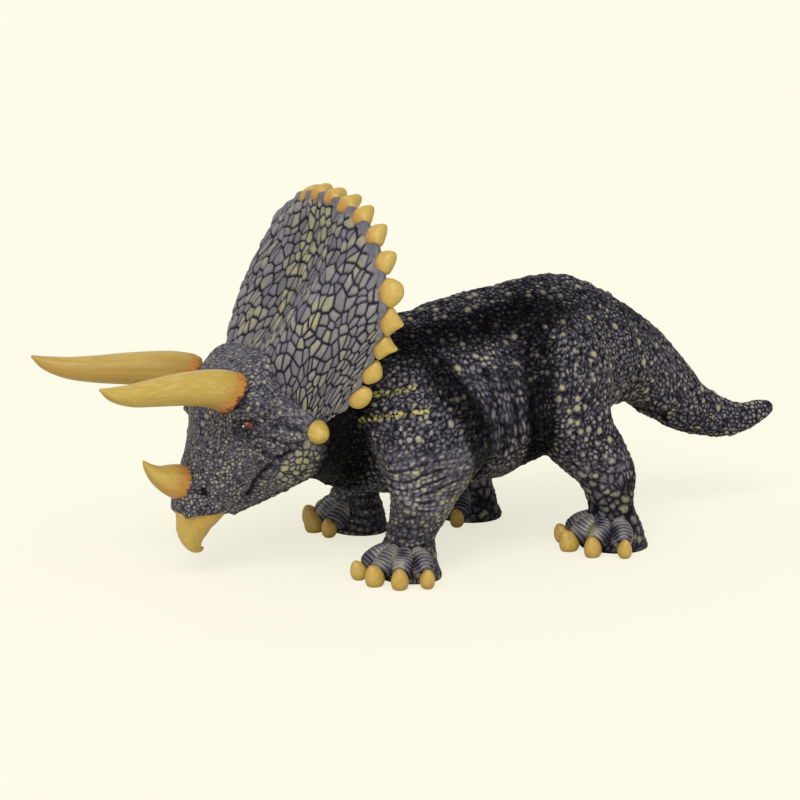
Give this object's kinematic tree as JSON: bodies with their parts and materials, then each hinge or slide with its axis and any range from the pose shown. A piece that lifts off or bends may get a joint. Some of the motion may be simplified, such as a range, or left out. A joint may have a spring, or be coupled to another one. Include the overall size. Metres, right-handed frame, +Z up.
{
  "type": "toy dinosaur figure",
  "caption": "Moulded figure of a three-horned, frilled dinosaur walking with its head held low, glued up from a hollow trunk, tail, legs, head, neck shield, beak, horns and eyes.",
  "frame": {"origin": "on the ground, under the middle of the figure's bounding box", "axes": "+Z up, the head towards -X, the tail towards +X and the animal's left side towards -Y"},
  "size_m": [0.1571, 0.0596, 0.0735],
  "materials": {
    "skin": "scaly moulded skin, grey-purple with black creases and dry-brushed olive yellow on the raised scales",
    "horn": "smooth ochre-yellow paint with orange streaks at the roots and paler highlights",
    "iris": "glossy red-brown paint with a black pupil"
  },
  "bodies": {
    "root": {"torso_left_shell": "skin", "torso_right_shell": "skin", "tail": "skin", "foreleg_left": "skin", "foreleg_right": "skin", "hindleg_left": "skin", "hindleg_right": "skin", "head": "skin", "frill": "skin", "lower_jaw": "skin", "beak": "horn", "nose_horn": "horn", "brow_horn_left": "horn", "brow_horn_right": "horn", "cheek_horn_left": "horn", "cheek_horn_right": "horn", "eye_left": "iris", "eye_right": "iris"}
  },
  "joints": []
}
